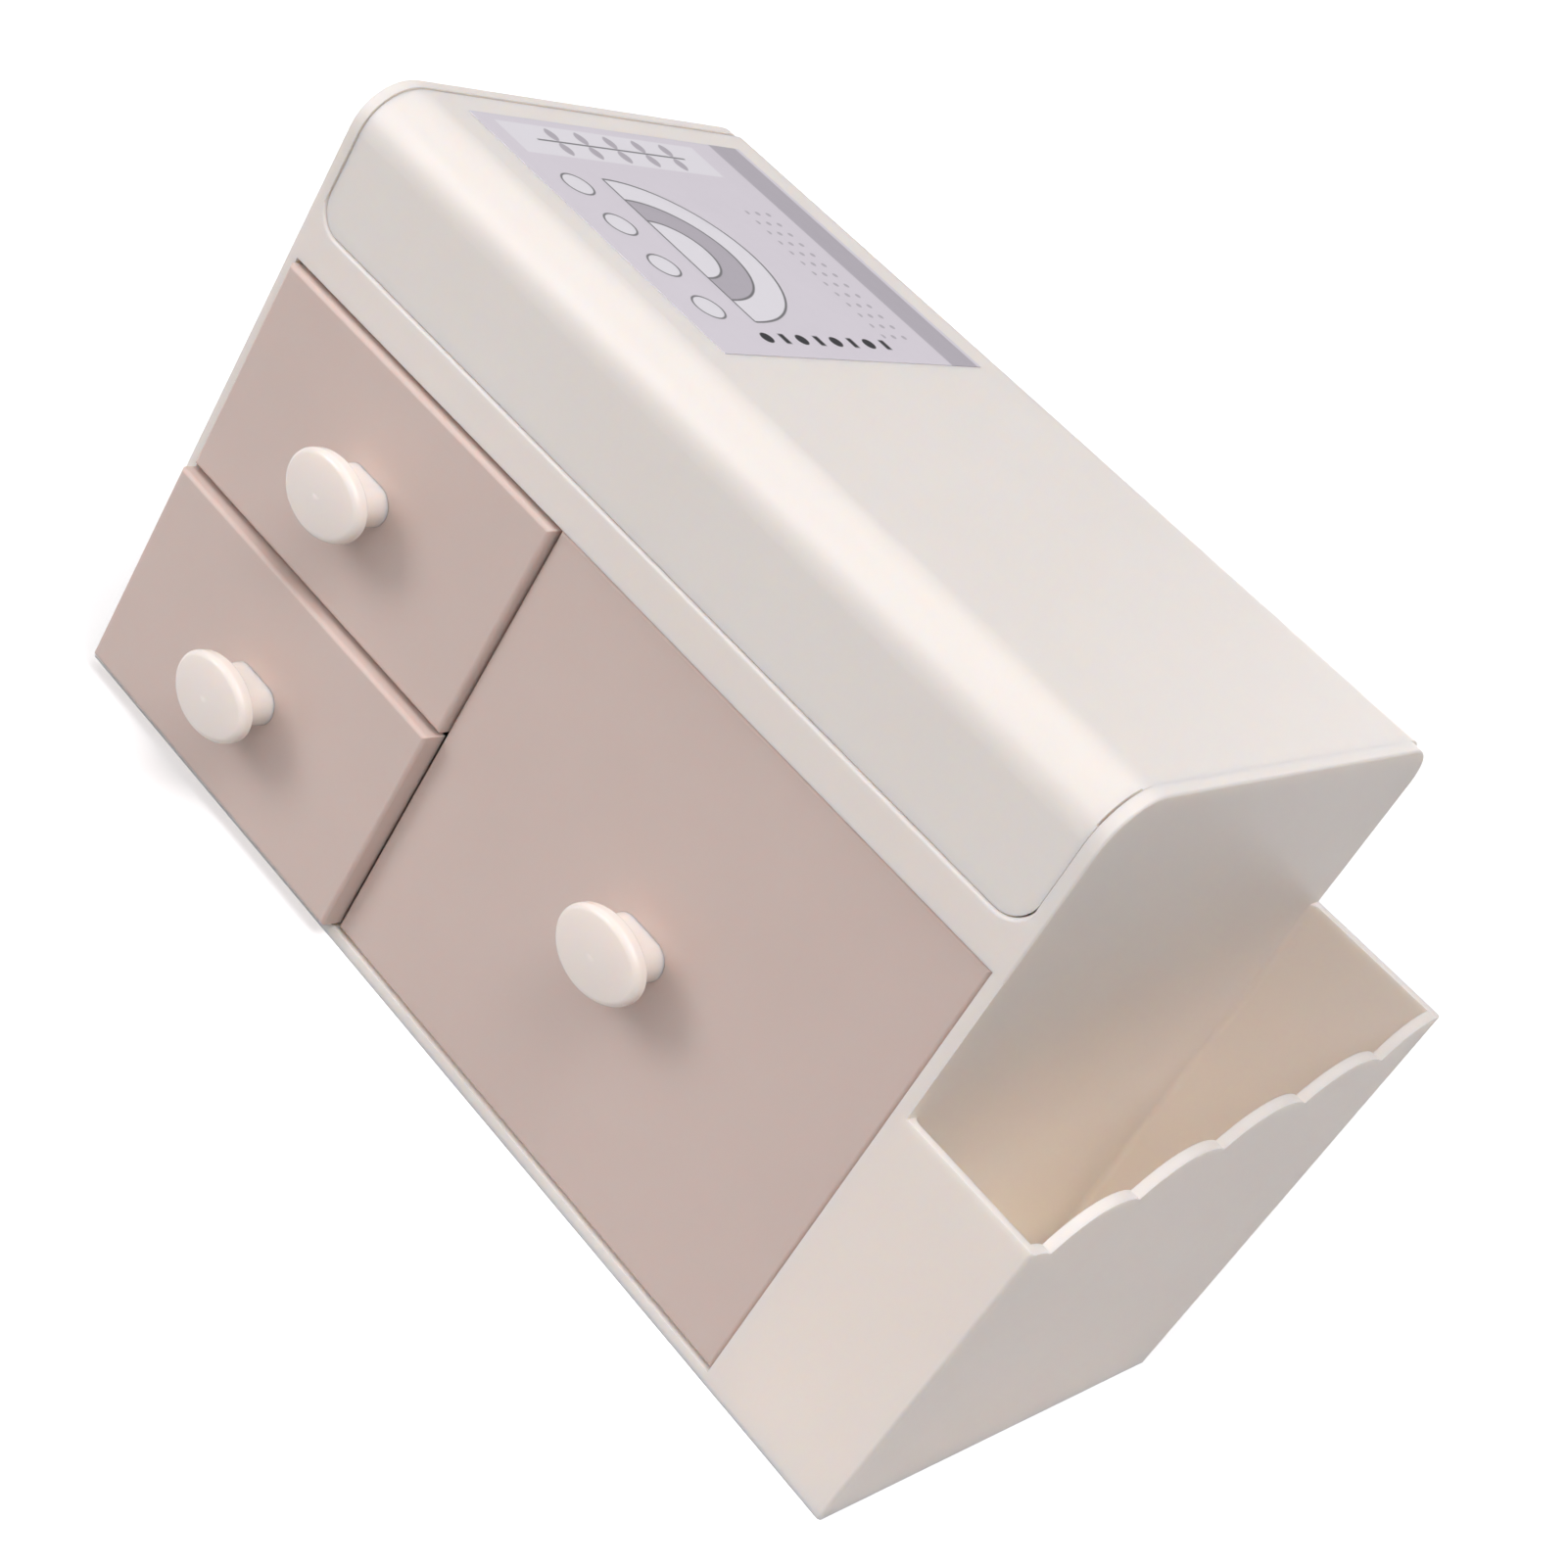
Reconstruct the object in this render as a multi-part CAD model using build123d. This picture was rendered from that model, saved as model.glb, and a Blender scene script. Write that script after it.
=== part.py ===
# Desktop drawer box: a moulded casing with three pull-out drawers, a lidded top
# compartment and an open side pocket with a scalloped edge.
# Millimetres, +Z up, drawers open toward -Y. Everything is built in a working frame whose
# origin is the casing's lower front left corner, then moved so that the origin is the
# middle of the bottom of the whole object's bounding box.
import os
from math import asin, cos, radians, sin

from build123d import *

# ---- casing ----
CASE_W = 235.3
CASE_D = 127.5
CASE_H = 160.0
SIDE_WALL = 3.1
FLOOR = 2.6
BACK_WALL = 2.5
FRONT_BEND_R = 13.0
REAR_BEND_R = 10.0
RIM_EDGE_R = 0.6

# ---- drawer bays ----
BAY_H = 112.6
LOWER_BAY_H = 55.75
LEFT_BAY_W = 94.75
DIVIDER_T = 1.6
SHELF_T = 1.6
DECK_T = 2.0
PLATE_FRONT_GAP = 1.4

# ---- lid ----
LID_DROP = 0.4
LID_T = 2.2
LID_GAP = 0.3
LID_SIDE_GAP = 0.3
LID_NOTCH_W = 0.35
LID_NOTCH_DROP = 9.0
LID_NOTCH_Y = 9.0
LID_FLANGE_T = 2.2
LID_FLANGE_DEPTH = 9.0
LID_CORNER_R = 7.2
HINGE_FROM_BACK = 6.5
HINGE_FROM_TOP = 6.8
HINGE_CURL_END = -50.0
PIN_R = 2.0
PIN_CLEARANCE = 0.06
PIN_ENGAGE = 1.25
PIN_END_GAP = 0.4

# ---- front rail between the drawers and the lid ----
RAIL_H = 9.6
RAIL_LIP_R = 0.9
RAIL_ANCHOR = 1.5
UPSTAND_H = 5.2
UPSTAND_T = 1.5
UPSTAND_GAP = 0.4
UPSTAND_MARGIN = 4.5

# ---- side pocket ----
POCKET_W = 34.35
POCKET_WALL = 2.5
POCKET_LEAN = 0.021
POCKET_FRONT_TOP = 79.4
POCKET_BACK_TOP = 115.1
POCKET_EDGE_R = 1.0
POCKET_INNER_R = 2.0
SCALLOP_COUNT = 4
SCALLOP_FRONT_MARGIN = 8.5
SCALLOP_REAR_MARGIN = 15.5
SCALLOP_FRONT_DROP = 2.2
SCALLOP_REAR_DROP = 10.1
SCALLOP_PITCH_RATIO = 1.045
SCALLOP_RISE_RATIO = 0.91
SCALLOP_SAG = 4.9
FIRST_SCALLOP_SAG = 0.5
LAST_SCALLOP_SAG = 2.2

# ---- label on the lid ----
LABEL_X = 10.2
LABEL_Y = 20.4
LABEL_W = 88.8
LABEL_D = 94.0
LABEL_T = 0.15

# ---- drawers ----
FRONT_T = 2.5
FRONT_RIM_DEPTH = 6.0
FRONT_RIM_T = 2.0
FRONT_EDGE_R = 1.0
FRONT_SIDE_GAP = 0.4
COLUMN_GAP = 0.5
ROW_GAP = 1.1
SMALL_TOP_GAP = 1.1
SMALL_BOTTOM_GAP = 1.3
LARGE_TOP_GAP = 0.3
LARGE_BOTTOM_GAP = 0.6
TRAY_WALL = 1.8
TRAY_BOTTOM_T = 1.8
TRAY_LAP = 0.6
TRAY_REAR_GAP = 1.1
TRAY_SIDE_GAP = 0.8
TRAY_FLOOR_GAP = 0.3
TRAY_HEADROOM = 10.0
TRAY_CORNER_R = 4.0
UPPER_PROUD = 1.8
LOWER_PROUD = 4.6
LARGE_PROUD = -0.6

# ---- knobs and their screws ----
KNOB_NECK_W = 17.0
KNOB_NECK_H = 9.6
KNOB_NECK_L = 9.0
KNOB_NECK_TAPER = 2.0
KNOB_NECK_LAP = 0.5
KNOB_CAP_W = 24.7
KNOB_CAP_H = 17.8
KNOB_CAP_T = 4.7
KNOB_DOME_H = 1.4
KNOB_FACE_EDGE_R = 1.6
KNOB_BACK_EDGE_R = 0.9
SCREW_R = 1.3
SCREW_REACH = 7.5
SCREW_TIP_GAP = 0.5
SCREW_FIT = 0.05
SCREW_HEAD_R = 3.2
SCREW_HEAD_H = 1.8
SCREW_SLOT = 0.8
FRONT_HOLE_GAP = 0.3

# ---- places that follow from the sizes above ----
RIGHT_WALL_X = CASE_W - SIDE_WALL
BACK_INNER_Y = CASE_D - BACK_WALL
RAIL_BOTTOM = FLOOR + BAY_H
RAIL_TOP = RAIL_BOTTOM + RAIL_H
RAIL_T = LID_DROP + LID_T + UPSTAND_GAP + UPSTAND_T
DIVIDER_X = SIDE_WALL + LEFT_BAY_W
DIVIDER_MID = DIVIDER_X + DIVIDER_T / 2
SHELF_BOTTOM = FLOOR + LOWER_BAY_H
SHELF_TOP = SHELF_BOTTOM + SHELF_T
SHELF_MID = SHELF_BOTTOM + SHELF_T / 2
PLATE_FRONT = FRONT_RIM_DEPTH - LARGE_PROUD + PLATE_FRONT_GAP
HINGE_Y = CASE_D - HINGE_FROM_BACK
HINGE_Z = CASE_H - HINGE_FROM_TOP
LID_TOP = CASE_H - LID_DROP
LID_BEND_R = FRONT_BEND_R - LID_DROP
LID_CURL_R = LID_TOP - HINGE_Z
SKIRT_Z = RAIL_TOP + LID_GAP
BACK_WALL_TOP = HINGE_Z - LID_CURL_R
OUTER_X = CASE_W + POCKET_W
POCKET_TOP_X = OUTER_X + POCKET_LEAN * POCKET_BACK_TOP


def box(x0, x1, y0, y1, z0, z1):
    """Axis-aligned block between two corners."""
    size = (x1 - x0, y1 - y0, z1 - z0)
    return Pos((x0 + x1) / 2, (y0 + y1) / 2, (z0 + z1) / 2) * Box(*size)


def on_yz(wires, x0, x1):
    """Extrude a closed outline drawn as (y, z) from x0 to x1."""
    outline = make_face(Plane.YZ * wires)
    return Pos(x0, 0, 0) * extrude(outline, x1 - x0, dir=(1, 0, 0))


def on_xz(wires, y0, y1):
    """Extrude a closed outline drawn as (x, z) from y0 to y1."""
    outline = make_face(Plane.XZ * wires)
    return Pos(0, y0, 0) * extrude(outline, y1 - y0, dir=(0, 1, 0))


# ---------------------------------------------------------------- casing
def side_wall(x0, x1, outer_is_low_x):
    """One side wall: upright front, large front bend, flat top, small rear bend."""
    front_bend = RadiusArc((0, CASE_H - FRONT_BEND_R), (FRONT_BEND_R, CASE_H), FRONT_BEND_R)
    rear_bend = RadiusArc((CASE_D - REAR_BEND_R, CASE_H), (CASE_D, CASE_H - REAR_BEND_R), REAR_BEND_R)
    outline = Curve() + [
        Line((0, 0), (0, CASE_H - FRONT_BEND_R)),
        front_bend,
        Line((FRONT_BEND_R, CASE_H), (CASE_D - REAR_BEND_R, CASE_H)),
        rear_bend,
        Line((CASE_D, CASE_H - REAR_BEND_R), (CASE_D, 0)),
        Line((CASE_D, 0), (0, 0)),
    ]
    wall = on_yz(outline, x0, x1)
    faces = wall.faces().sort_by(Axis.X)
    outer_face = faces[0] if outer_is_low_x else faces[-1]
    return fillet(outer_face.edges(), RIM_EDGE_R)


def front_rail():
    """Strip above the drawers, running up both sides in a rounded corner round the lid."""
    corner = LID_CORNER_R + LID_GAP
    x0 = SIDE_WALL - RAIL_ANCHOR
    x1 = RIGHT_WALL_X + RAIL_ANCHOR
    left = SIDE_WALL
    right = RIGHT_WALL_X
    tip = RAIL_TOP + corner
    outline = Curve() + [
        Line((x0, RAIL_BOTTOM), (x1, RAIL_BOTTOM)),
        Line((x1, RAIL_BOTTOM), (x1, tip)),
        Line((x1, tip), (right, tip)),
        RadiusArc((right, tip), (right - corner, RAIL_TOP), corner),
        Line((right - corner, RAIL_TOP), (left + corner, RAIL_TOP)),
        RadiusArc((left + corner, RAIL_TOP), (left, tip), corner),
        Line((left, tip), (x0, tip)),
        Line((x0, tip), (x0, RAIL_BOTTOM)),
    ]
    rail = on_xz(outline, 0, RAIL_T)
    lip = rail.edges().filter_by_position(Axis.Y, -0.01, 0.01)
    lip = lip.filter_by_position(Axis.Z, RAIL_TOP - 0.01, tip)
    lip = [e for e in lip if e.center().Z < tip - 0.01 and left < e.center().X < right]
    rail = fillet(lip, RAIL_LIP_R)
    upstand = box(
        left + corner + UPSTAND_MARGIN,
        right - corner - UPSTAND_MARGIN,
        RAIL_T - UPSTAND_T,
        RAIL_T,
        RAIL_TOP - RAIL_ANCHOR,
        RAIL_TOP + UPSTAND_H,
    )
    return rail + upstand


def geometric_steps(total, ratio, count):
    """Steps that add up to total, each ratio times the one before."""
    first = total / sum(ratio**i for i in range(count))
    return [first * ratio**i for i in range(count)]


def scallop_points():
    """Cusps of the pocket's wavy edge as (y, z), front to back."""
    y = SCALLOP_FRONT_MARGIN
    z = POCKET_FRONT_TOP - SCALLOP_FRONT_DROP
    run = CASE_D - SCALLOP_REAR_MARGIN - y
    rise = POCKET_BACK_TOP - SCALLOP_REAR_DROP - z
    points = [(y, z)]
    runs = geometric_steps(run, SCALLOP_PITCH_RATIO, SCALLOP_COUNT)
    rises = geometric_steps(rise, SCALLOP_RISE_RATIO, SCALLOP_COUNT)
    for step_y, step_z in zip(runs, rises):
        y += step_y
        z += step_z
        points.append((y, z))
    return points


def bulged(start, end, sag):
    """Arc from start to end standing sag above its chord."""
    dy = end[0] - start[0]
    dz = end[1] - start[1]
    length = (dy * dy + dz * dz) ** 0.5
    mid = ((start[0] + end[0]) / 2 - dz / length * sag, (start[1] + end[1]) / 2 + dy / length * sag)
    return ThreePointArc(start, mid, end)


def pocket():
    """Side pocket: leaning outer wall with a scalloped top that climbs to the back."""
    lean_top = POCKET_LEAN * POCKET_BACK_TOP
    x_in = RIGHT_WALL_X
    section = Curve() + [
        Line((x_in, 0), (OUTER_X, 0)),
        Line((OUTER_X, 0), (OUTER_X + lean_top, POCKET_BACK_TOP)),
        Line((OUTER_X + lean_top, POCKET_BACK_TOP), (x_in, POCKET_BACK_TOP)),
        Line((x_in, POCKET_BACK_TOP), (x_in, 0)),
    ]
    block = on_xz(section, 0, CASE_D)
    corners = block.edges().filter_by(Plane.XZ).group_by(Axis.X)[-1]
    block = fillet(corners, POCKET_EDGE_R)

    inner_x0 = CASE_W
    inner_x1 = OUTER_X - POCKET_WALL
    hollow_section = Curve() + [
        Line((inner_x0, FLOOR), (inner_x1 + POCKET_LEAN * FLOOR, FLOOR)),
        Line(
            (inner_x1 + POCKET_LEAN * FLOOR, FLOOR),
            (inner_x1 + POCKET_LEAN * CASE_H, CASE_H),
        ),
        Line((inner_x1 + POCKET_LEAN * CASE_H, CASE_H), (inner_x0, CASE_H)),
        Line((inner_x0, CASE_H), (inner_x0, FLOOR)),
    ]
    hollow = on_xz(hollow_section, POCKET_WALL, BACK_INNER_Y)
    hollow = fillet(hollow.edges().filter_by(Axis.Z), POCKET_INNER_R)

    cusps = scallop_points()
    top = Curve() + bulged((0, POCKET_FRONT_TOP), cusps[0], FIRST_SCALLOP_SAG)
    for start, end in zip(cusps, cusps[1:]):
        top += bulged(start, end, SCALLOP_SAG)
    back_corner = (BACK_INNER_Y, POCKET_BACK_TOP)
    top += bulged(cusps[-1], back_corner, LAST_SCALLOP_SAG)
    above = CASE_H
    outline = top + [
        Line(back_corner, (CASE_D, POCKET_BACK_TOP)),
        Line((CASE_D, POCKET_BACK_TOP), (CASE_D, above)),
        Line((CASE_D, above), (0, above)),
        Line((0, above), (0, POCKET_FRONT_TOP)),
    ]
    above_edge = on_yz(outline, CASE_W, POCKET_TOP_X + POCKET_WALL)
    return block - hollow - above_edge


def casing():
    left = side_wall(0, SIDE_WALL, True)
    right = side_wall(RIGHT_WALL_X, CASE_W, False)
    inner_x0 = SIDE_WALL / 2
    inner_x1 = CASE_W - SIDE_WALL / 2
    floor = box(inner_x0, inner_x1, 0, CASE_D, 0, FLOOR)
    back = box(inner_x0, inner_x1, BACK_INNER_Y, CASE_D, 0, BACK_WALL_TOP)
    body = left + right + floor + back + front_rail() + pocket()
    bore = Cylinder(PIN_R + PIN_CLEARANCE, 2 * (PIN_ENGAGE + PIN_END_GAP))
    for wall_x in (SIDE_WALL, RIGHT_WALL_X):
        body -= Pos(wall_x, HINGE_Y, HINGE_Z) * Rot(0, 90, 0) * bore
    return body


# ---------------------------------------------------------------- inner plates
def divider():
    """Upright plate between the small drawers and the large one."""
    x1 = DIVIDER_X + DIVIDER_T
    return box(DIVIDER_X, x1, PLATE_FRONT, BACK_INNER_Y, FLOOR, RAIL_BOTTOM)


def shelf():
    """Level plate between the two small drawers."""
    return box(SIDE_WALL, DIVIDER_X, PLATE_FRONT, BACK_INNER_Y, SHELF_BOTTOM, SHELF_TOP)


def deck():
    """Floor of the compartment under the lid."""
    z1 = RAIL_BOTTOM + DECK_T
    return box(SIDE_WALL, RIGHT_WALL_X, RAIL_T, BACK_INNER_Y, RAIL_BOTTOM, z1)


# ---------------------------------------------------------------- lid
def lid_outline(inset):
    """Cross-section line of the lid, moved inward by inset, as a list of edges."""
    face_y = LID_DROP + inset
    top_z = LID_TOP - inset
    bend = LID_BEND_R - inset
    curl = LID_CURL_R - inset
    bend_y = FRONT_BEND_R
    bend_z = CASE_H - FRONT_BEND_R
    diagonal = radians(45)
    end = radians(HINGE_CURL_END)
    mid = radians((90 + HINGE_CURL_END) / 2)
    bend_mid = (bend_y - bend * cos(diagonal), bend_z + bend * sin(diagonal))
    curl_mid = (HINGE_Y + curl * cos(mid), HINGE_Z + curl * sin(mid))
    curl_end = (HINGE_Y + curl * cos(end), HINGE_Z + curl * sin(end))
    return [
        Line((face_y, SKIRT_Z), (face_y, bend_z)),
        ThreePointArc((face_y, bend_z), bend_mid, (bend_y, top_z)),
        Line((bend_y, top_z), (HINGE_Y, top_z)),
        ThreePointArc((HINGE_Y, top_z), curl_mid, curl_end),
    ]


def ring_outline(depth):
    """Closed outline of the band between the lid's skin and depth below it."""
    outer = lid_outline(0)
    inner = lid_outline(depth)
    ends = [
        Line(outer[0] @ 0, inner[0] @ 0),
        Line(outer[-1] @ 1, inner[-1] @ 1),
    ]
    return Curve() + outer + inner + ends


def lid():
    """Bent cover with a flange down each side and a pin on each flange at the hinge."""
    x0 = SIDE_WALL + LID_SIDE_GAP
    x1 = RIGHT_WALL_X - LID_SIDE_GAP
    flange_z = LID_TOP - LID_FLANGE_DEPTH
    inner_y = LID_DROP + LID_T
    corner_z = SKIRT_Z + LID_CORNER_R
    flange = Curve() + [
        Line((LID_DROP, SKIRT_Z), (LID_DROP, CASE_H - FRONT_BEND_R)),
        lid_outline(0)[1],
        Line((FRONT_BEND_R, LID_TOP), (HINGE_Y, LID_TOP)),
        Line((HINGE_Y, LID_TOP), (HINGE_Y, flange_z)),
        Line((HINGE_Y, flange_z), (FRONT_BEND_R, flange_z)),
        Line((FRONT_BEND_R, flange_z), (inner_y, corner_z)),
        Line((inner_y, corner_z), (inner_y, SKIRT_Z)),
        Line((inner_y, SKIRT_Z), (LID_DROP, SKIRT_Z)),
    ]
    knuckle = Cylinder(LID_CURL_R, LID_FLANGE_T)
    pin = Cylinder(PIN_R, 2 * (LID_SIDE_GAP + PIN_ENGAGE))
    drum = Cylinder(LID_CORNER_R, 4 * RAIL_T)
    body = on_yz(ring_outline(LID_T), x0, x1)
    for flange_x in (x0, x1 - LID_FLANGE_T):
        body += on_yz(flange, flange_x, flange_x + LID_FLANGE_T)
        body += Pos(flange_x + LID_FLANGE_T / 2, HINGE_Y, HINGE_Z) * Rot(0, 90, 0) * knuckle
    notch_z = CASE_H - LID_NOTCH_DROP
    body -= box(x1 - LID_NOTCH_W, x1 + LID_T, -LID_T, LID_NOTCH_Y, notch_z, CASE_H)
    for edge_x, inward in ((x0, 1), (x1, -1)):
        body += Pos(edge_x, HINGE_Y, HINGE_Z) * Rot(0, 90, 0) * pin
        centre_x = edge_x + inward * LID_CORNER_R
        lo, hi = sorted((edge_x - inward, centre_x))
        square = box(lo, hi, -LID_T, 2 * RAIL_T, SKIRT_Z - LID_T, corner_z)
        body -= square - Pos(centre_x, 0, corner_z) * Rot(90, 0, 0) * drum
    return body


def label():
    """Paper rectangle stuck on the lid's top."""
    x1 = LABEL_X + LABEL_W
    return box(LABEL_X, x1, LABEL_Y, LABEL_Y + LABEL_D, LID_TOP, LID_TOP + LABEL_T)


# ---------------------------------------------------------------- drawers
def drawer(front_x, front_z, bay_x, bay_z, proud):
    """Tray with a rounded front plate; proud is how far it stands out of the casing."""
    front = box(*front_x, 0, FRONT_RIM_DEPTH, *front_z)
    front = fillet(front.faces().sort_by(Axis.Y)[0].edges(), FRONT_EDGE_R)
    pan_x = (front_x[0] + FRONT_RIM_T, front_x[1] - FRONT_RIM_T)
    pan_z = (front_z[0] + FRONT_RIM_T, front_z[1] - FRONT_RIM_T)
    front -= box(*pan_x, FRONT_T, 2 * FRONT_RIM_DEPTH, *pan_z)
    x0 = bay_x[0] + TRAY_SIDE_GAP
    x1 = bay_x[1] - TRAY_SIDE_GAP
    z0 = bay_z[0] + TRAY_FLOOR_GAP
    z1 = bay_z[1] - TRAY_HEADROOM
    rear = BACK_INNER_Y - TRAY_REAR_GAP
    tray = box(x0, x1, FRONT_T - TRAY_LAP, rear, z0, z1)
    tray = fillet(tray.edges().filter_by(Axis.Z).group_by(Axis.Y)[-1], TRAY_CORNER_R)
    inside_x = (x0 + TRAY_WALL, x1 - TRAY_WALL)
    hollow = box(*inside_x, FRONT_T, rear - TRAY_WALL, z0 + TRAY_BOTTOM_T, z1 + FRONT_T)
    hollow = fillet(hollow.edges().filter_by(Axis.Z), TRAY_CORNER_R - TRAY_WALL)
    hole = Cylinder(SCREW_R + FRONT_HOLE_GAP, 2 * FRONT_T)
    hole = Pos(sum(front_x) / 2, FRONT_T / 2, sum(front_z) / 2) * Rot(90, 0, 0) * hole
    return Pos(0, -proud, 0) * (front + tray - hollow - hole)


def knob(x, z, proud):
    """Oval knob: flat-sided neck with round ends under a thin domed oval cap."""
    half = KNOB_CAP_W / 2
    dome_r = (half**2 + KNOB_DOME_H**2) / (2 * KNOB_DOME_H)
    cap = extrude(Ellipse(half, KNOB_CAP_H / 2), KNOB_CAP_T)
    cap = cap & Pos(0, 0, KNOB_CAP_T - dome_r) * Sphere(dome_r)
    rings = cap.edges().filter_by(lambda e: e.length > KNOB_CAP_W).sort_by(Axis.Z)
    cap = fillet(rings[-1], KNOB_FACE_EDGE_R)
    rings = cap.edges().filter_by(lambda e: e.length > KNOB_CAP_W).sort_by(Axis.Z)
    cap = fillet(rings[0], KNOB_BACK_EDGE_R)
    neck_section = SlotOverall(KNOB_NECK_W, KNOB_NECK_H)
    neck = extrude(neck_section, KNOB_NECK_L + KNOB_NECK_LAP, taper=KNOB_NECK_TAPER)
    body = neck + Pos(0, 0, KNOB_NECK_L) * cap
    body -= Cylinder(SCREW_R + SCREW_FIT, 2 * (SCREW_REACH + SCREW_TIP_GAP))
    return Pos(x, -proud, z) * Rot(90, 0, 0) * body


def knob_screw(x, z, proud):
    """Slotted pan-head screw from inside the drawer front into the knob."""
    length = SCREW_REACH + FRONT_T
    shank = Pos(0, 0, length / 2 - FRONT_T) * Cylinder(SCREW_R, length)
    head = Pos(0, 0, -FRONT_T - SCREW_HEAD_H / 2) * Cylinder(SCREW_HEAD_R, SCREW_HEAD_H)
    head = fillet(head.edges().group_by(Axis.Z)[0], SCREW_HEAD_H / 3)
    slot = Box(2 * SCREW_HEAD_R, SCREW_SLOT, SCREW_HEAD_H)
    head -= Pos(0, 0, -FRONT_T - SCREW_HEAD_H) * slot
    return Pos(x, -proud, z) * Rot(90, 0, 0) * (shank + head)


LEFT_BAY_X = (SIDE_WALL, DIVIDER_X)
RIGHT_BAY_X = (DIVIDER_X + DIVIDER_T, RIGHT_WALL_X)
SMALL_FRONT_X = (SIDE_WALL + FRONT_SIDE_GAP, DIVIDER_MID - COLUMN_GAP / 2)
LARGE_FRONT_X = (DIVIDER_MID + COLUMN_GAP / 2, RIGHT_WALL_X - FRONT_SIDE_GAP)
UPPER_FRONT_Z = (SHELF_MID + ROW_GAP / 2, RAIL_BOTTOM - SMALL_TOP_GAP)
LOWER_FRONT_Z = (FLOOR + SMALL_BOTTOM_GAP, SHELF_MID - ROW_GAP / 2)
LARGE_FRONT_Z = (FLOOR + LARGE_BOTTOM_GAP, RAIL_BOTTOM - LARGE_TOP_GAP)
UPPER_BAY_Z = (SHELF_TOP, RAIL_BOTTOM)
LOWER_BAY_Z = (FLOOR, SHELF_BOTTOM)
LARGE_BAY_Z = (FLOOR, RAIL_BOTTOM)
DRAWERS = {
    "upper_small": (SMALL_FRONT_X, UPPER_FRONT_Z, LEFT_BAY_X, UPPER_BAY_Z, UPPER_PROUD),
    "lower_small": (SMALL_FRONT_X, LOWER_FRONT_Z, LEFT_BAY_X, LOWER_BAY_Z, LOWER_PROUD),
    "large": (LARGE_FRONT_X, LARGE_FRONT_Z, RIGHT_BAY_X, LARGE_BAY_Z, LARGE_PROUD),
}

pieces = {
    "casing": casing(),
    "bay_divider": divider(),
    "bay_shelf": shelf(),
    "compartment_floor": deck(),
    "lid": lid(),
    "label": label(),
}
for name, (front_x, front_z, bay_x, bay_z, proud) in DRAWERS.items():
    knob_place = (sum(front_x) / 2, sum(front_z) / 2, proud)
    pieces[name + "_drawer"] = drawer(front_x, front_z, bay_x, bay_z, proud)
    pieces[name + "_knob"] = knob(*knob_place)
    pieces[name + "_knob_screw"] = knob_screw(*knob_place)

whole = Compound(children=[Compound(p.solids()) for p in pieces.values()]).bounding_box()
to_origin = Pos(-whole.center().X, -whole.center().Y, -whole.min.Z)

os.makedirs("parts", exist_ok=True)
for name, piece in pieces.items():
    export_step(to_origin * piece, f"parts/{name}.step")
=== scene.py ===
import math

import bpy
from mathutils import Matrix, Vector


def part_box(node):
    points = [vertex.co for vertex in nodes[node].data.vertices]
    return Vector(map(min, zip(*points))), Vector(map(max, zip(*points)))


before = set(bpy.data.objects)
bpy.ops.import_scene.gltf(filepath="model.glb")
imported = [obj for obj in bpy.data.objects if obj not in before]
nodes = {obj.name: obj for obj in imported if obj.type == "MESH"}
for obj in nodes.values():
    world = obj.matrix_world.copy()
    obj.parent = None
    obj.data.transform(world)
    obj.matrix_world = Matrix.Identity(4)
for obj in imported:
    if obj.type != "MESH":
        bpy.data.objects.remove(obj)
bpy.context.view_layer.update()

DRAWERS = ("upper_small", "lower_small", "large")
PLATES = ("bay_divider", "bay_shelf", "compartment_floor")

# ---- plastics: colours, and how light sinks in (metres) ----
IVORY = {
    "light": (0.915, 0.838, 0.785),
    "deep": (0.905, 0.824, 0.768),
    "glow": (1.0, 0.80, 0.60),
    "depth": 0.003,
}
TAUPE = {
    "light": (0.715, 0.585, 0.53),
    "deep": (0.70, 0.57, 0.515),
    "glow": (1.0, 0.60, 0.50),
    "depth": 0.0012,
}
GLOW_WEIGHT = 0.8
PLASTIC_SPECULAR = 0.42

# ---- plastics: texture scales (per metre) and bump heights (metres) ----
CLOUD_SCALE = 22.0
SHEEN_SCALE = 160.0
SHEEN_BELOW = 0.03
SHEEN_ABOVE = 0.04
GRAIN_SCALE = 2600.0
GRAIN_HEIGHT = 0.00006
WAVE_SCALE = 34.0
WAVE_STRENGTH = 0.10
WAVE_HEIGHT = 0.0006
SPECK_SCALE = 38.0
SPECK_CORE = 0.006
SPECK_RIM = 0.014
SPECK_PICK_SCALE = 61.0
SPECK_PICK_OVER = 0.63
SPECK_STRENGTH = 0.35
SPECK_TONE = 0.55
NOISE_LOW = 0.3
NOISE_HIGH = 0.7

# ---- zinc plated steel ----
ZINC_DARK = (0.48, 0.48, 0.47)
ZINC_LIGHT = (0.62, 0.62, 0.60)
ZINC_CLOUD_SCALE = 900.0
ZINC_GRAIN_SCALE = 4000.0

# ---- printed card: tones ----
PAPER = (0.755, 0.715, 0.77)
PAPER_CLOUD_TONE = 0.985
PALE = (0.84, 0.82, 0.86)
GREY = (0.50, 0.47, 0.515)
INK = (0.21, 0.205, 0.215)
BLACK = (0.045, 0.045, 0.05)
CARD_CLOUD_SCALE = 60.0
CARD_GLOSS_SCALE = 240.0
CARD_FIBRE_SCALE = 1500.0

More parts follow.
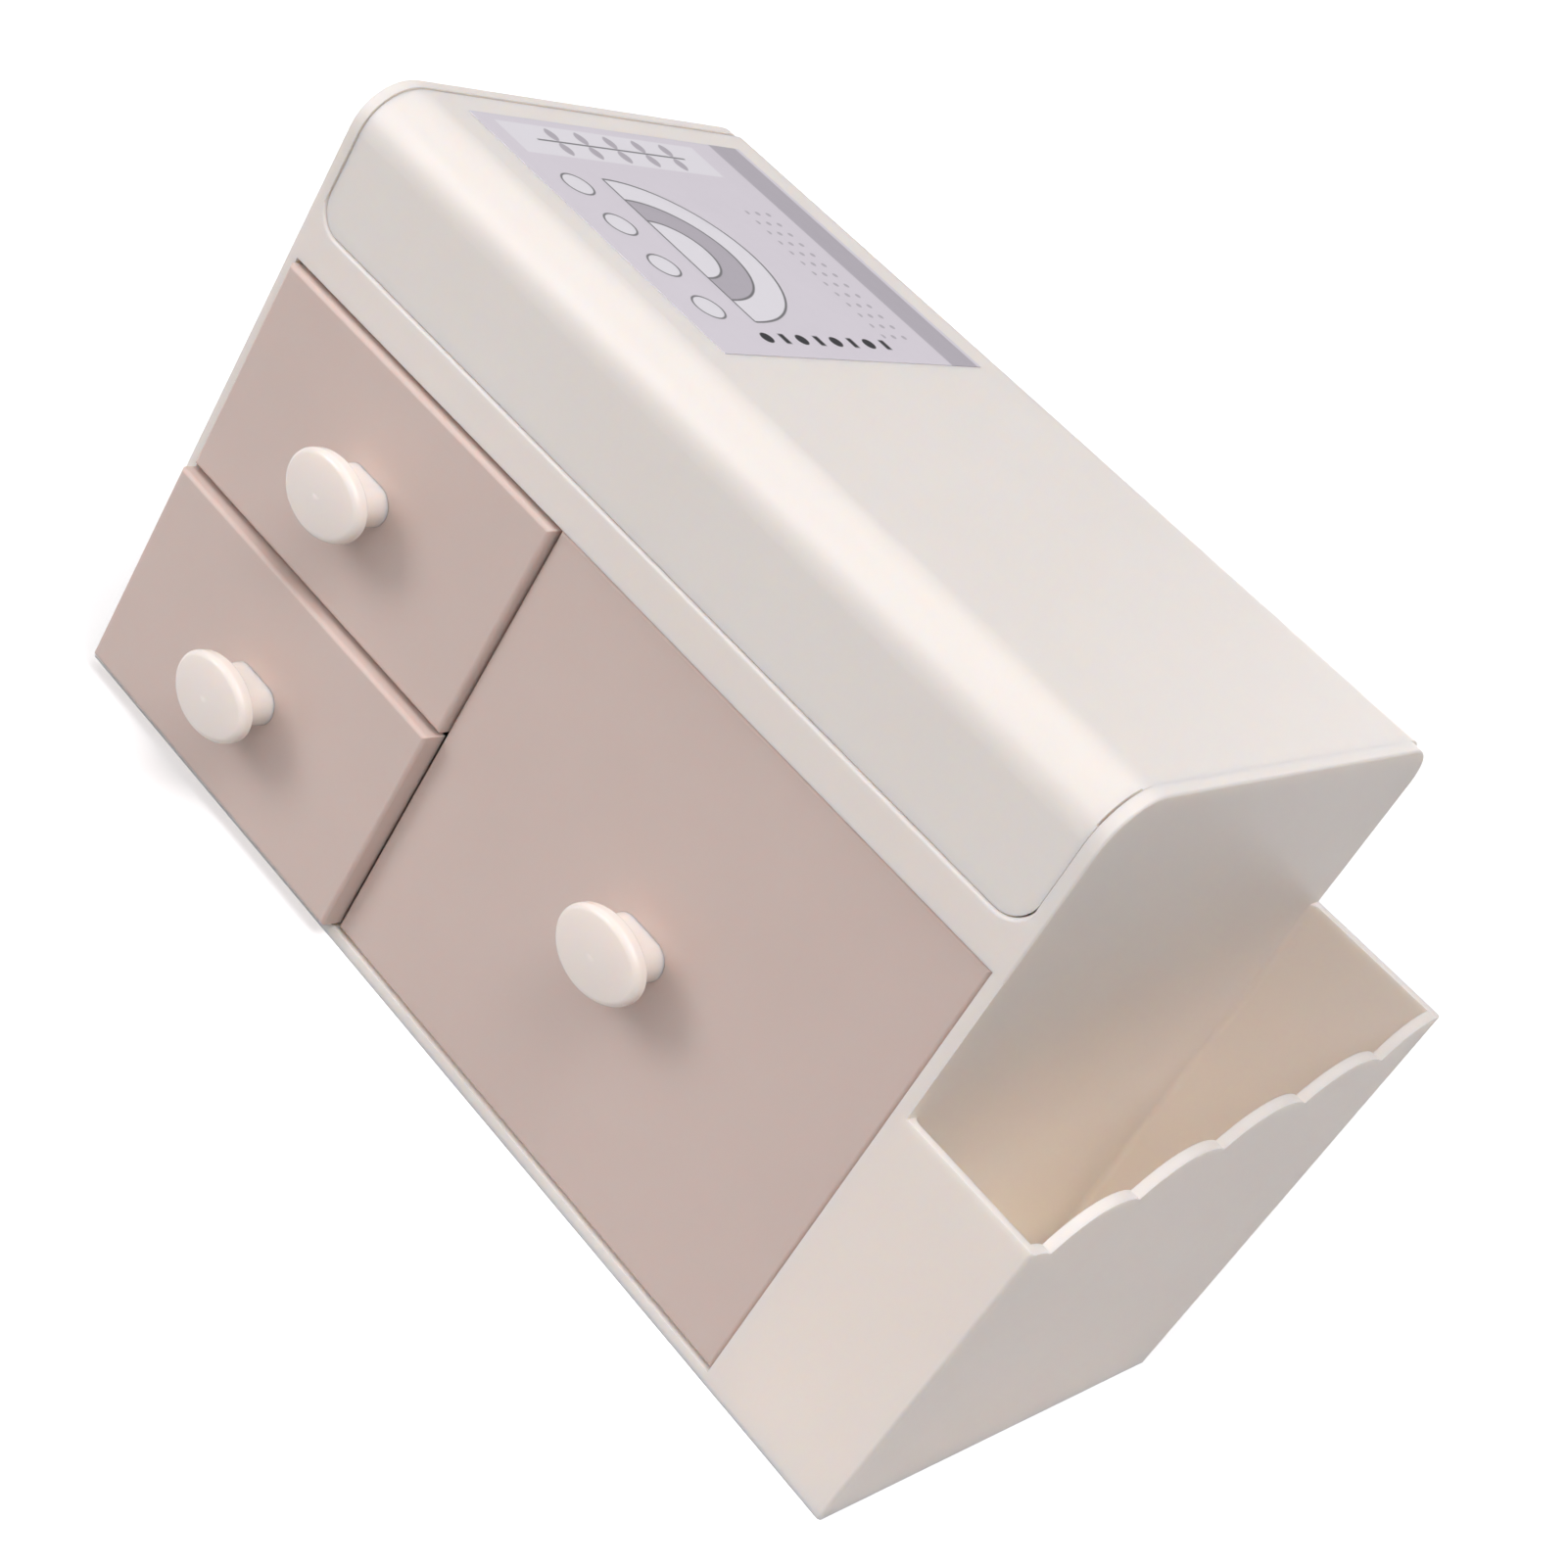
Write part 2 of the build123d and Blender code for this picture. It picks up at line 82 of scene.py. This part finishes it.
# ---- printed card: layout, as shares of its width (u) and depth (v) ----
EDGE_SOFT = 0.003
LINE_HALF = 0.0035
THIN_HALF = 0.003
LINE_SOFT = 0.0015
HEADER_V = 0.93
HEADER_HALF = 0.055
STRIP_U = 0.10
STRIP_V = 0.42
STRIP_HALF_U = 0.07
STRIP_HALF_V = 0.36
ARCH_U = 0.56
ARCH_V = 0.24
ARCHES = ((0.30, PALE), (0.21, GREY), (0.12, PALE))
BASELINE_HALF = 0.30
RING_COUNT = 4
RING_FIRST_U = 0.30
RING_STEP = 0.17
RING_V = 0.12
RING_R = 0.045
RING_SOFT = 0.002
DOT_GRID = 22.0
DOT_CORE = 0.16
DOT_RIM = 0.22
DOTS_U = 0.62
DOTS_V = 0.76
DOTS_HALF_U = 0.30
DOTS_HALF_V = 0.055
DOTS_SOFT = 0.001
STEM_HALF_V = 0.27
LEAF_PAIRS = 5
LEAF_FIRST_V = 0.21
LEAF_LENGTH = 0.03
LEAF_STEP = 0.105
LEAF_OUT = 0.032
LEAF_CORE = 0.032
LEAF_RIM = 0.035
ACCENT_COUNT = 4
ACCENT_U = 0.925
ACCENT_STEP = 0.13
DISC_FIRST_V = 0.22
DISC_CORE = 0.019
DISC_RIM = 0.022
BAR_FIRST_V = 0.285
BAR_HALF_U = 0.020
BAR_HALF_V = 0.010

# ---- floor, lamps, world ----
FLOOR_SIZE = 12.0
FLOOR_LIT = (0.36, 0.36, 0.36)
FLOOR_SEEN = (0.86, 0.86, 0.86)
FLOOR_GLOW = 0.36
FLOOR_ROUGHNESS = 0.9
STUDIO_WHITE = (1.0, 0.98, 1.0)
# name, direction toward the lamp, strength, width in degrees
SUNS = (
    ("key", (-0.66, -0.66, 0.38), 1.02, 30.0),
    ("front", (-0.10, -0.80, 0.60), 0.80, 60.0),
    ("overhead", (0.30, -0.12, 0.95), 1.86, 40.0),
    ("rear", (-0.15, 0.99, 0.0), 0.70, 30.0),
)
POCKET_MIDDLE_FROM_RIGHT = 0.0185
POCKET_LAMP_RISE = 0.12
POCKET_LAMP_WIDTH = 0.014
POCKET_LAMP_DEPTH = 0.10
POCKET_LAMP_WATTS = 0.0078
POCKET_LAMP_BEAM = 6.0
POCKET_LAMP_COLOUR = (1.0, 1.0, 0.80)
WORLD_LIT = 0.14
WORLD_SEEN = 1.0

# ---- camera: its place from the casing's lower front left corner, and its axes ----
CAMERA_FROM_CORNER = (0.4021109, -0.4354004, 0.3601247)
CAMERA_RIGHT = (0.6328445, 0.6064309, 0.4814035)
CAMERA_UP = (-0.6545396, 0.0868652, 0.7510208)
CAMERA_LENS_MM = 65.1257
CAMERA_SENSOR_MM = 36.0
CAMERA_CLIP_START = 0.01


# ---------------------------------------------------------------- materials
class Graph:
    """Small helper that adds nodes to one material and links them."""

    def __init__(self, name):
        self.material = bpy.data.materials.new(name)
        self.material.use_nodes = True
        self.tree = self.material.node_tree
        self.shader = self.tree.nodes["Principled BSDF"]

    def add(self, kind, **values):
        node = self.tree.nodes.new(kind)
        for key, value in values.items():
            setattr(node, key, value)
        return node

    def link(self, source, target):
        self.tree.links.new(source, target)

    def fill(self, socket, value):
        """Links a socket to the input, or sets the input to a number or tuple."""
        if isinstance(value, bpy.types.NodeSocket):
            self.link(value, socket)
        else:
            socket.default_value = value

    def put(self, node, **sockets):
        """Fills inputs by name, with underscores for the spaces in a name."""
        for key, value in sockets.items():
            self.fill(node.inputs[key.replace("_", " ")], value)

    def object_point(self):
        return self.add("ShaderNodeTexCoord").outputs["Object"]

    def noise(self, point, scale, detail=2.0, roughness=0.5):
        node = self.add("ShaderNodeTexNoise")
        self.put(node, Vector=point, Scale=scale, Detail=detail, Roughness=roughness)
        return node.outputs["Fac"]

    def ramp(self, value, low, high, to_low=0.0, to_high=1.0):
        node = self.add("ShaderNodeMapRange", clamp=True)
        self.put(node, Value=value, From_Min=low, From_Max=high, To_Min=to_low, To_Max=to_high)
        return node.outputs["Result"]

    def stretch(self, noise, to_low=0.0, to_high=1.0):
        """Maps the middle of a noise, where most of its values lie, to the range given."""
        return self.ramp(noise, NOISE_LOW, NOISE_HIGH, to_low, to_high)

    def inside(self, distance, core, rim):
        """One within core, zero beyond rim."""
        return self.ramp(distance, core, rim, 1.0, 0.0)

    def math(self, operation, a, b=0.0):
        node = self.add("ShaderNodeMath", operation=operation)
        for socket, value in zip(node.inputs, (a, b)):
            self.fill(socket, value)
        return node.outputs["Value"]

    def times(self, a, b):
        return self.math("MULTIPLY", a, b)

    def length(self, a, b):
        return self.math("SQRT", self.math("ADD", self.times(a, a), self.times(b, b)))

    def mix(self, factor, a, b):
        node = self.add("ShaderNodeMix", data_type="RGBA")
        for socket, value in ((node.inputs[0], factor), (node.inputs[6], a), (node.inputs[7], b)):
            self.fill(socket, (*value, 1.0) if isinstance(value, tuple) else value)
        return node.outputs[2]

    def bump(self, height, strength, distance, normal=None):
        node = self.add("ShaderNodeBump")
        self.put(node, Height=height, Strength=strength, Distance=distance)
        if normal is not None:
            self.link(normal, node.inputs["Normal"])
        return node.outputs["Normal"]


def moulded(name, light, deep, glow, depth, roughness, grain, specks=True):
    """Injection-moulded plastic: light sinks in a little, faint cloudiness, fine grain, specks."""
    g = Graph(name)
    point = g.object_point()
    cloud = g.noise(point, CLOUD_SCALE, detail=3.0, roughness=0.55)
    colour = g.mix(g.stretch(cloud), deep, light)
    if specks:
        cells = g.add("ShaderNodeTexVoronoi", feature="F1")
        g.put(cells, Vector=point, Scale=SPECK_SCALE, Randomness=1.0)
        near = g.inside(cells.outputs["Distance"], SPECK_CORE, SPECK_RIM)
        pick = g.noise(cells.outputs["Position"], SPECK_PICK_SCALE, detail=0.0)
        chosen = g.math("GREATER_THAN", pick, SPECK_PICK_OVER)
        fleck = g.times(g.times(near, chosen), SPECK_STRENGTH)
        colour = g.mix(fleck, colour, tuple(c * SPECK_TONE for c in deep))
    sheen = g.noise(point, SHEEN_SCALE, detail=3.0, roughness=0.6)
    sheen = g.stretch(sheen, roughness - SHEEN_BELOW, roughness + SHEEN_ABOVE)
    fine = g.noise(point, GRAIN_SCALE, detail=2.0, roughness=0.6)
    wave = g.noise(point, WAVE_SCALE, detail=1.0, roughness=0.4)
    normal = g.bump(wave, WAVE_STRENGTH, WAVE_HEIGHT)
    normal = g.bump(fine, grain, GRAIN_HEIGHT, normal)
    g.put(g.shader, Base_Color=colour, Roughness=sheen, Normal=normal)
    g.put(g.shader, Specular_IOR_Level=PLASTIC_SPECULAR, Subsurface_Weight=GLOW_WEIGHT)
    g.put(g.shader, Subsurface_Radius=glow, Subsurface_Scale=depth)
    return g.material


def steel(name):
    """Zinc plating: a cloudy grey metal with a very fine grain."""
    g = Graph(name)
    point = g.object_point()
    cloud = g.noise(point, ZINC_CLOUD_SCALE, detail=3.0, roughness=0.6)
    colour = g.mix(g.stretch(cloud), ZINC_DARK, ZINC_LIGHT)
    roughness = g.stretch(cloud, to_low=0.28, to_high=0.42)
    normal = g.bump(g.noise(point, ZINC_GRAIN_SCALE), strength=0.15, distance=0.00003)
    g.put(g.shader, Base_Color=colour, Roughness=roughness, Metallic=1.0, Normal=normal)
    return g.material


def printed_card(name, low, high):
    """Pale lavender-grey card printed with tone blocks, arches, rings, dots, a sprig and discs."""
    g = Graph(name)
    point = g.object_point()
    split = g.add("ShaderNodeSeparateXYZ")
    g.link(point, split.inputs[0])
    tall = (high.y - low.y) / (high.x - low.x)
    u = g.ramp(split.outputs["X"], low.x, high.x)
    v = g.ramp(split.outputs["Y"], low.y, high.y)

    def band(value, middle, half, soft=EDGE_SOFT):
        away = g.math("ABSOLUTE", g.math("SUBTRACT", value, middle))
        return g.inside(away, half - soft, half + soft)

    def radius(cu, cv):
        du = g.math("SUBTRACT", u, cu)
        return g.length(du, g.times(g.math("SUBTRACT", v, cv), tall))

    cloud = g.noise(point, CARD_CLOUD_SCALE, detail=3.0)
    colour = g.mix(g.stretch(cloud), PAPER, tuple(c * PAPER_CLOUD_TONE for c in PAPER))
    # broad tone blocks
    colour = g.mix(band(v, HEADER_V, HEADER_HALF), colour, GREY)
    strip = g.times(band(u, STRIP_U, STRIP_HALF_U), band(v, STRIP_V, STRIP_HALF_V))
    colour = g.mix(strip, colour, PALE)
    # three nested arches on a common baseline
    for outer, tone in ARCHES:
        r = radius(ARCH_U, ARCH_V)
        above = g.ramp(v, ARCH_V - EDGE_SOFT, ARCH_V + EDGE_SOFT)
        field = g.times(g.inside(r, outer - EDGE_SOFT, outer + EDGE_SOFT), above)
        colour = g.mix(field, colour, tone)
        colour = g.mix(g.times(band(r, outer, LINE_HALF, LINE_SOFT), above), colour, INK)
    baseline = g.times(band(v, ARCH_V, THIN_HALF, LINE_SOFT), band(u, ARCH_U, BASELINE_HALF))
    colour = g.mix(baseline, colour, INK)
    # row of rings
    for i in range(RING_COUNT):
        r = radius(RING_FIRST_U + RING_STEP * i, RING_V)
        colour = g.mix(g.inside(r, RING_R - RING_SOFT, RING_R + RING_SOFT), colour, PALE)
        colour = g.mix(band(r, RING_R, THIN_HALF, LINE_SOFT), colour, INK)
    # dotted field
    cell_u = g.math("FRACT", g.times(u, DOT_GRID))
    cell_v = g.math("FRACT", g.times(v, DOT_GRID * tall))
    dot = g.length(g.math("SUBTRACT", cell_u, 0.5), g.math("SUBTRACT", cell_v, 0.5))
    field = g.times(band(u, DOTS_U, DOTS_HALF_U, DOTS_SOFT), band(v, DOTS_V, DOTS_HALF_V, DOTS_SOFT))
    colour = g.mix(g.times(g.inside(dot, DOT_CORE, DOT_RIM), field), colour, GREY)
    # a sprig with paired leaves on the pale strip
    stem = g.times(band(u, STRIP_U, LINE_HALF, LINE_SOFT), band(v, STRIP_V, STEM_HALF_V))
    colour = g.mix(stem, colour, INK)
    for i in range(LEAF_PAIRS):
        leaf_v = LEAF_FIRST_V + LEAF_STEP * i
        for side in (-1, 1):
            leaf_u = STRIP_U + side * LEAF_OUT
            lower = g.inside(radius(leaf_u, leaf_v), LEAF_CORE, LEAF_RIM)
            upper = g.inside(radius(leaf_u, leaf_v + LEAF_LENGTH), LEAF_CORE, LEAF_RIM)
            colour = g.mix(g.times(lower, upper), colour, GREY)
    # black discs and short bars beside the arches
    for i in range(ACCENT_COUNT):
        step = ACCENT_STEP * i
        disc = g.inside(radius(ACCENT_U, DISC_FIRST_V + step), DISC_CORE, DISC_RIM)
        bar = g.times(band(u, ACCENT_U, BAR_HALF_U), band(v, BAR_FIRST_V + step, BAR_HALF_V))
        colour = g.mix(disc, colour, BLACK)
        colour = g.mix(bar, colour, BLACK)
    roughness = g.stretch(g.noise(point, CARD_GLOSS_SCALE), to_low=0.30, to_high=0.38)
    fibres = g.noise(point, CARD_FIBRE_SCALE, detail=3.0)
    normal = g.bump(fibres, strength=0.06, distance=0.00004)
    g.put(g.shader, Base_Color=colour, Roughness=roughness, Normal=normal)
    return g.material


def dress(node, material):
    mesh = nodes[node].data
    mesh.materials.clear()
    mesh.materials.append(material)


shell = moulded("ivory_shell", **IVORY, roughness=0.40, grain=0.10)
plate = moulded("ivory_plate", **IVORY, roughness=0.42, grain=0.10)
cover = moulded("ivory_lid", **IVORY, roughness=0.36, grain=0.08)
taupe = moulded("taupe_plastic", **TAUPE, roughness=0.40, grain=0.09)
gloss = moulded("ivory_knob", **IVORY, roughness=0.16, grain=0.02, specks=False)
zinc = steel("screw_steel")
dress("casing", shell)
for name in PLATES:
    dress(name, plate)
dress("lid", cover)
dress("label", printed_card("label_paper", *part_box("label")))
for name in DRAWERS:
    dress(name + "_drawer", taupe)
    dress(name + "_knob", gloss)
    dress(name + "_knob_screw", zinc)


# ---------------------------------------------------------------- floor, lamps, world
def level_square(name, size):
    """Flat square on the ground, centred on the object's origin."""
    mesh = bpy.data.meshes.new(name)
    h = size / 2
    mesh.from_pydata([(-h, -h, 0), (h, -h, 0), (h, h, 0), (-h, h, 0)], [], [(0, 1, 2, 3)])
    obj = bpy.data.objects.new(name, mesh)
    bpy.context.scene.collection.objects.link(obj)
    return obj


def floor_white():
    """White where a camera, gloss or glass sees it, darker as a source of light on the object."""
    g = Graph("floor_white")
    rays = g.add("ShaderNodeLightPath").outputs
    reflected = g.math("MAXIMUM", rays["Is Glossy Ray"], rays["Is Transmission Ray"])
    seen = g.math("MAXIMUM", rays["Is Camera Ray"], reflected)
    g.put(g.shader, Base_Color=g.mix(seen, FLOOR_LIT, FLOOR_SEEN), Roughness=FLOOR_ROUGHNESS)
    g.put(g.shader, Specular_IOR_Level=0.0, Emission_Color=(1, 1, 1, 1))
    g.put(g.shader, Emission_Strength=g.times(seen, FLOOR_GLOW))
    return g.material


def hang(name, lamp):
    obj = bpy.data.objects.new(name, lamp)
    bpy.context.scene.collection.objects.link(obj)
    return obj


def sun(name, toward, strength, spread):
    """Soft parallel light from the given direction; spread is its width in degrees."""
    lamp = bpy.data.lights.new(name, "SUN")
    lamp.energy = strength
    lamp.angle = math.radians(spread)
    lamp.color = STUDIO_WHITE
    hang(name, lamp).rotation_euler = Vector(toward).to_track_quat("Z", "Y").to_euler()


def pocket_fill(place):
    """Narrow rectangular lamp that shines straight down into the side pocket."""
    lamp = bpy.data.lights.new("pocket_fill", "AREA")
    lamp.shape = "RECTANGLE"
    lamp.size = POCKET_LAMP_WIDTH
    lamp.size_y = POCKET_LAMP_DEPTH
    lamp.energy = POCKET_LAMP_WATTS
    lamp.spread = math.radians(POCKET_LAMP_BEAM)
    lamp.color = POCKET_LAMP_COLOUR
    obj = hang("pocket_fill", lamp)
    obj.location = place
    obj.visible_camera = False


level_square("floor", FLOOR_SIZE).data.materials.append(floor_white())
for values in SUNS:
    sun(*values)
low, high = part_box("casing")
pocket_x = high.x - POCKET_MIDDLE_FROM_RIGHT
pocket_fill((pocket_x, (low.y + high.y) / 2, high.z + POCKET_LAMP_RISE))

world = bpy.data.worlds.new("studio")
bpy.context.scene.world = world
world.use_nodes = True
tree = world.node_tree
background = tree.nodes["Background"]
background.inputs["Color"].default_value = (1, 1, 1, 1)
path = tree.nodes.new("ShaderNodeLightPath")
strength = tree.nodes.new("ShaderNodeMapRange")
strength.inputs["To Min"].default_value = WORLD_LIT
strength.inputs["To Max"].default_value = WORLD_SEEN
tree.links.new(path.outputs["Is Camera Ray"], strength.inputs["Value"])
tree.links.new(strength.outputs["Result"], background.inputs["Strength"])

# ---------------------------------------------------------------- camera
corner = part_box("casing")[0]
camera_at = corner + Vector(CAMERA_FROM_CORNER)
right = Vector(CAMERA_RIGHT)
up = Vector(CAMERA_UP)
camera_data = bpy.data.cameras.new("camera")
camera_data.sensor_width = CAMERA_SENSOR_MM
camera_data.lens = CAMERA_LENS_MM
camera_data.clip_start = CAMERA_CLIP_START
camera = bpy.data.objects.new("camera", camera_data)
bpy.context.scene.collection.objects.link(camera)
turn = Matrix((right, up, right.cross(up))).transposed().to_4x4()
camera.matrix_world = Matrix.Translation(camera_at) @ turn
bpy.context.scene.camera = camera
bpy.context.scene.view_settings.view_transform = "Standard"
